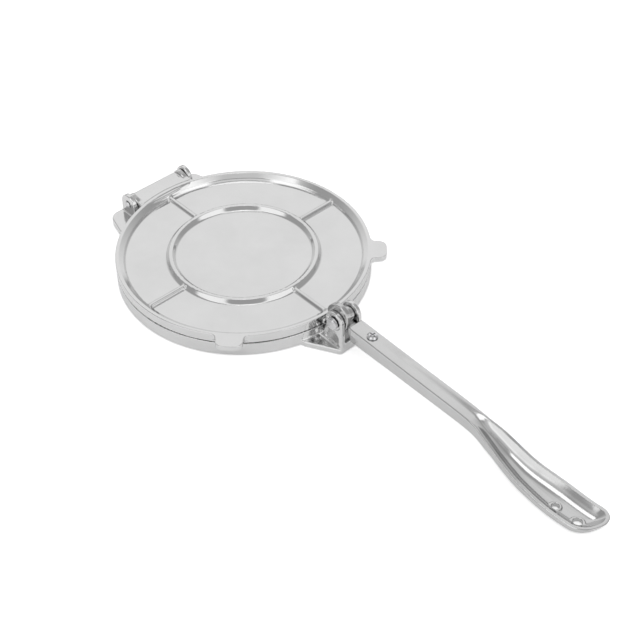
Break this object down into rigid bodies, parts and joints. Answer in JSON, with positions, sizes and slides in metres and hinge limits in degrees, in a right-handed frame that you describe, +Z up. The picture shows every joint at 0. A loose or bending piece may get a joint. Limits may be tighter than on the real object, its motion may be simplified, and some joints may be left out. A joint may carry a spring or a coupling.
{
  "type": "tortilla press",
  "caption": "Round hinged two-plate tortilla press of cast aluminium with finger tabs and a long folding cam lever with a dished grip.",
  "frame": {"origin": "middle of the base plate's underside, on the face of the centre pad that the press stands on", "axes": "+Z up from the table, -Y along the lever as it lies open, +X to the right with the lever towards the viewer; the rear hinge and the lever pivot both run along X"},
  "size_m": [0.2, 0.483, 0.0404],
  "materials": {
    "base_aluminium": "polished",
    "top_aluminium": "polished",
    "head_aluminium": "polished",
    "handle_aluminium": "polished",
    "fastener_steel": "plated"
  },
  "bodies": {
    "base": {"base_plate": "base_aluminium", "lever_pin": "fastener_steel", "hinge_pin_left": "fastener_steel", "hinge_pin_right": "fastener_steel"},
    "top": {"top_plate": "top_aluminium"},
    "lever": {"lever_head": "head_aluminium", "handle": "handle_aluminium", "handle_screw": "fastener_steel"}
  },
  "joints": [
    {"name": "top_hinge", "type": "hinge", "parent": "base", "child": "top", "pos_m": [0, 0.11, 0.0163], "axis": [-1, 0, 0], "range_deg": [0, 180]},
    {"name": "lever_pivot", "type": "hinge", "parent": "base", "child": "lever", "pos_m": [0, -0.1152, 0.0263], "axis": [-1, 0, 0], "range_deg": [0, 178]}
  ]
}
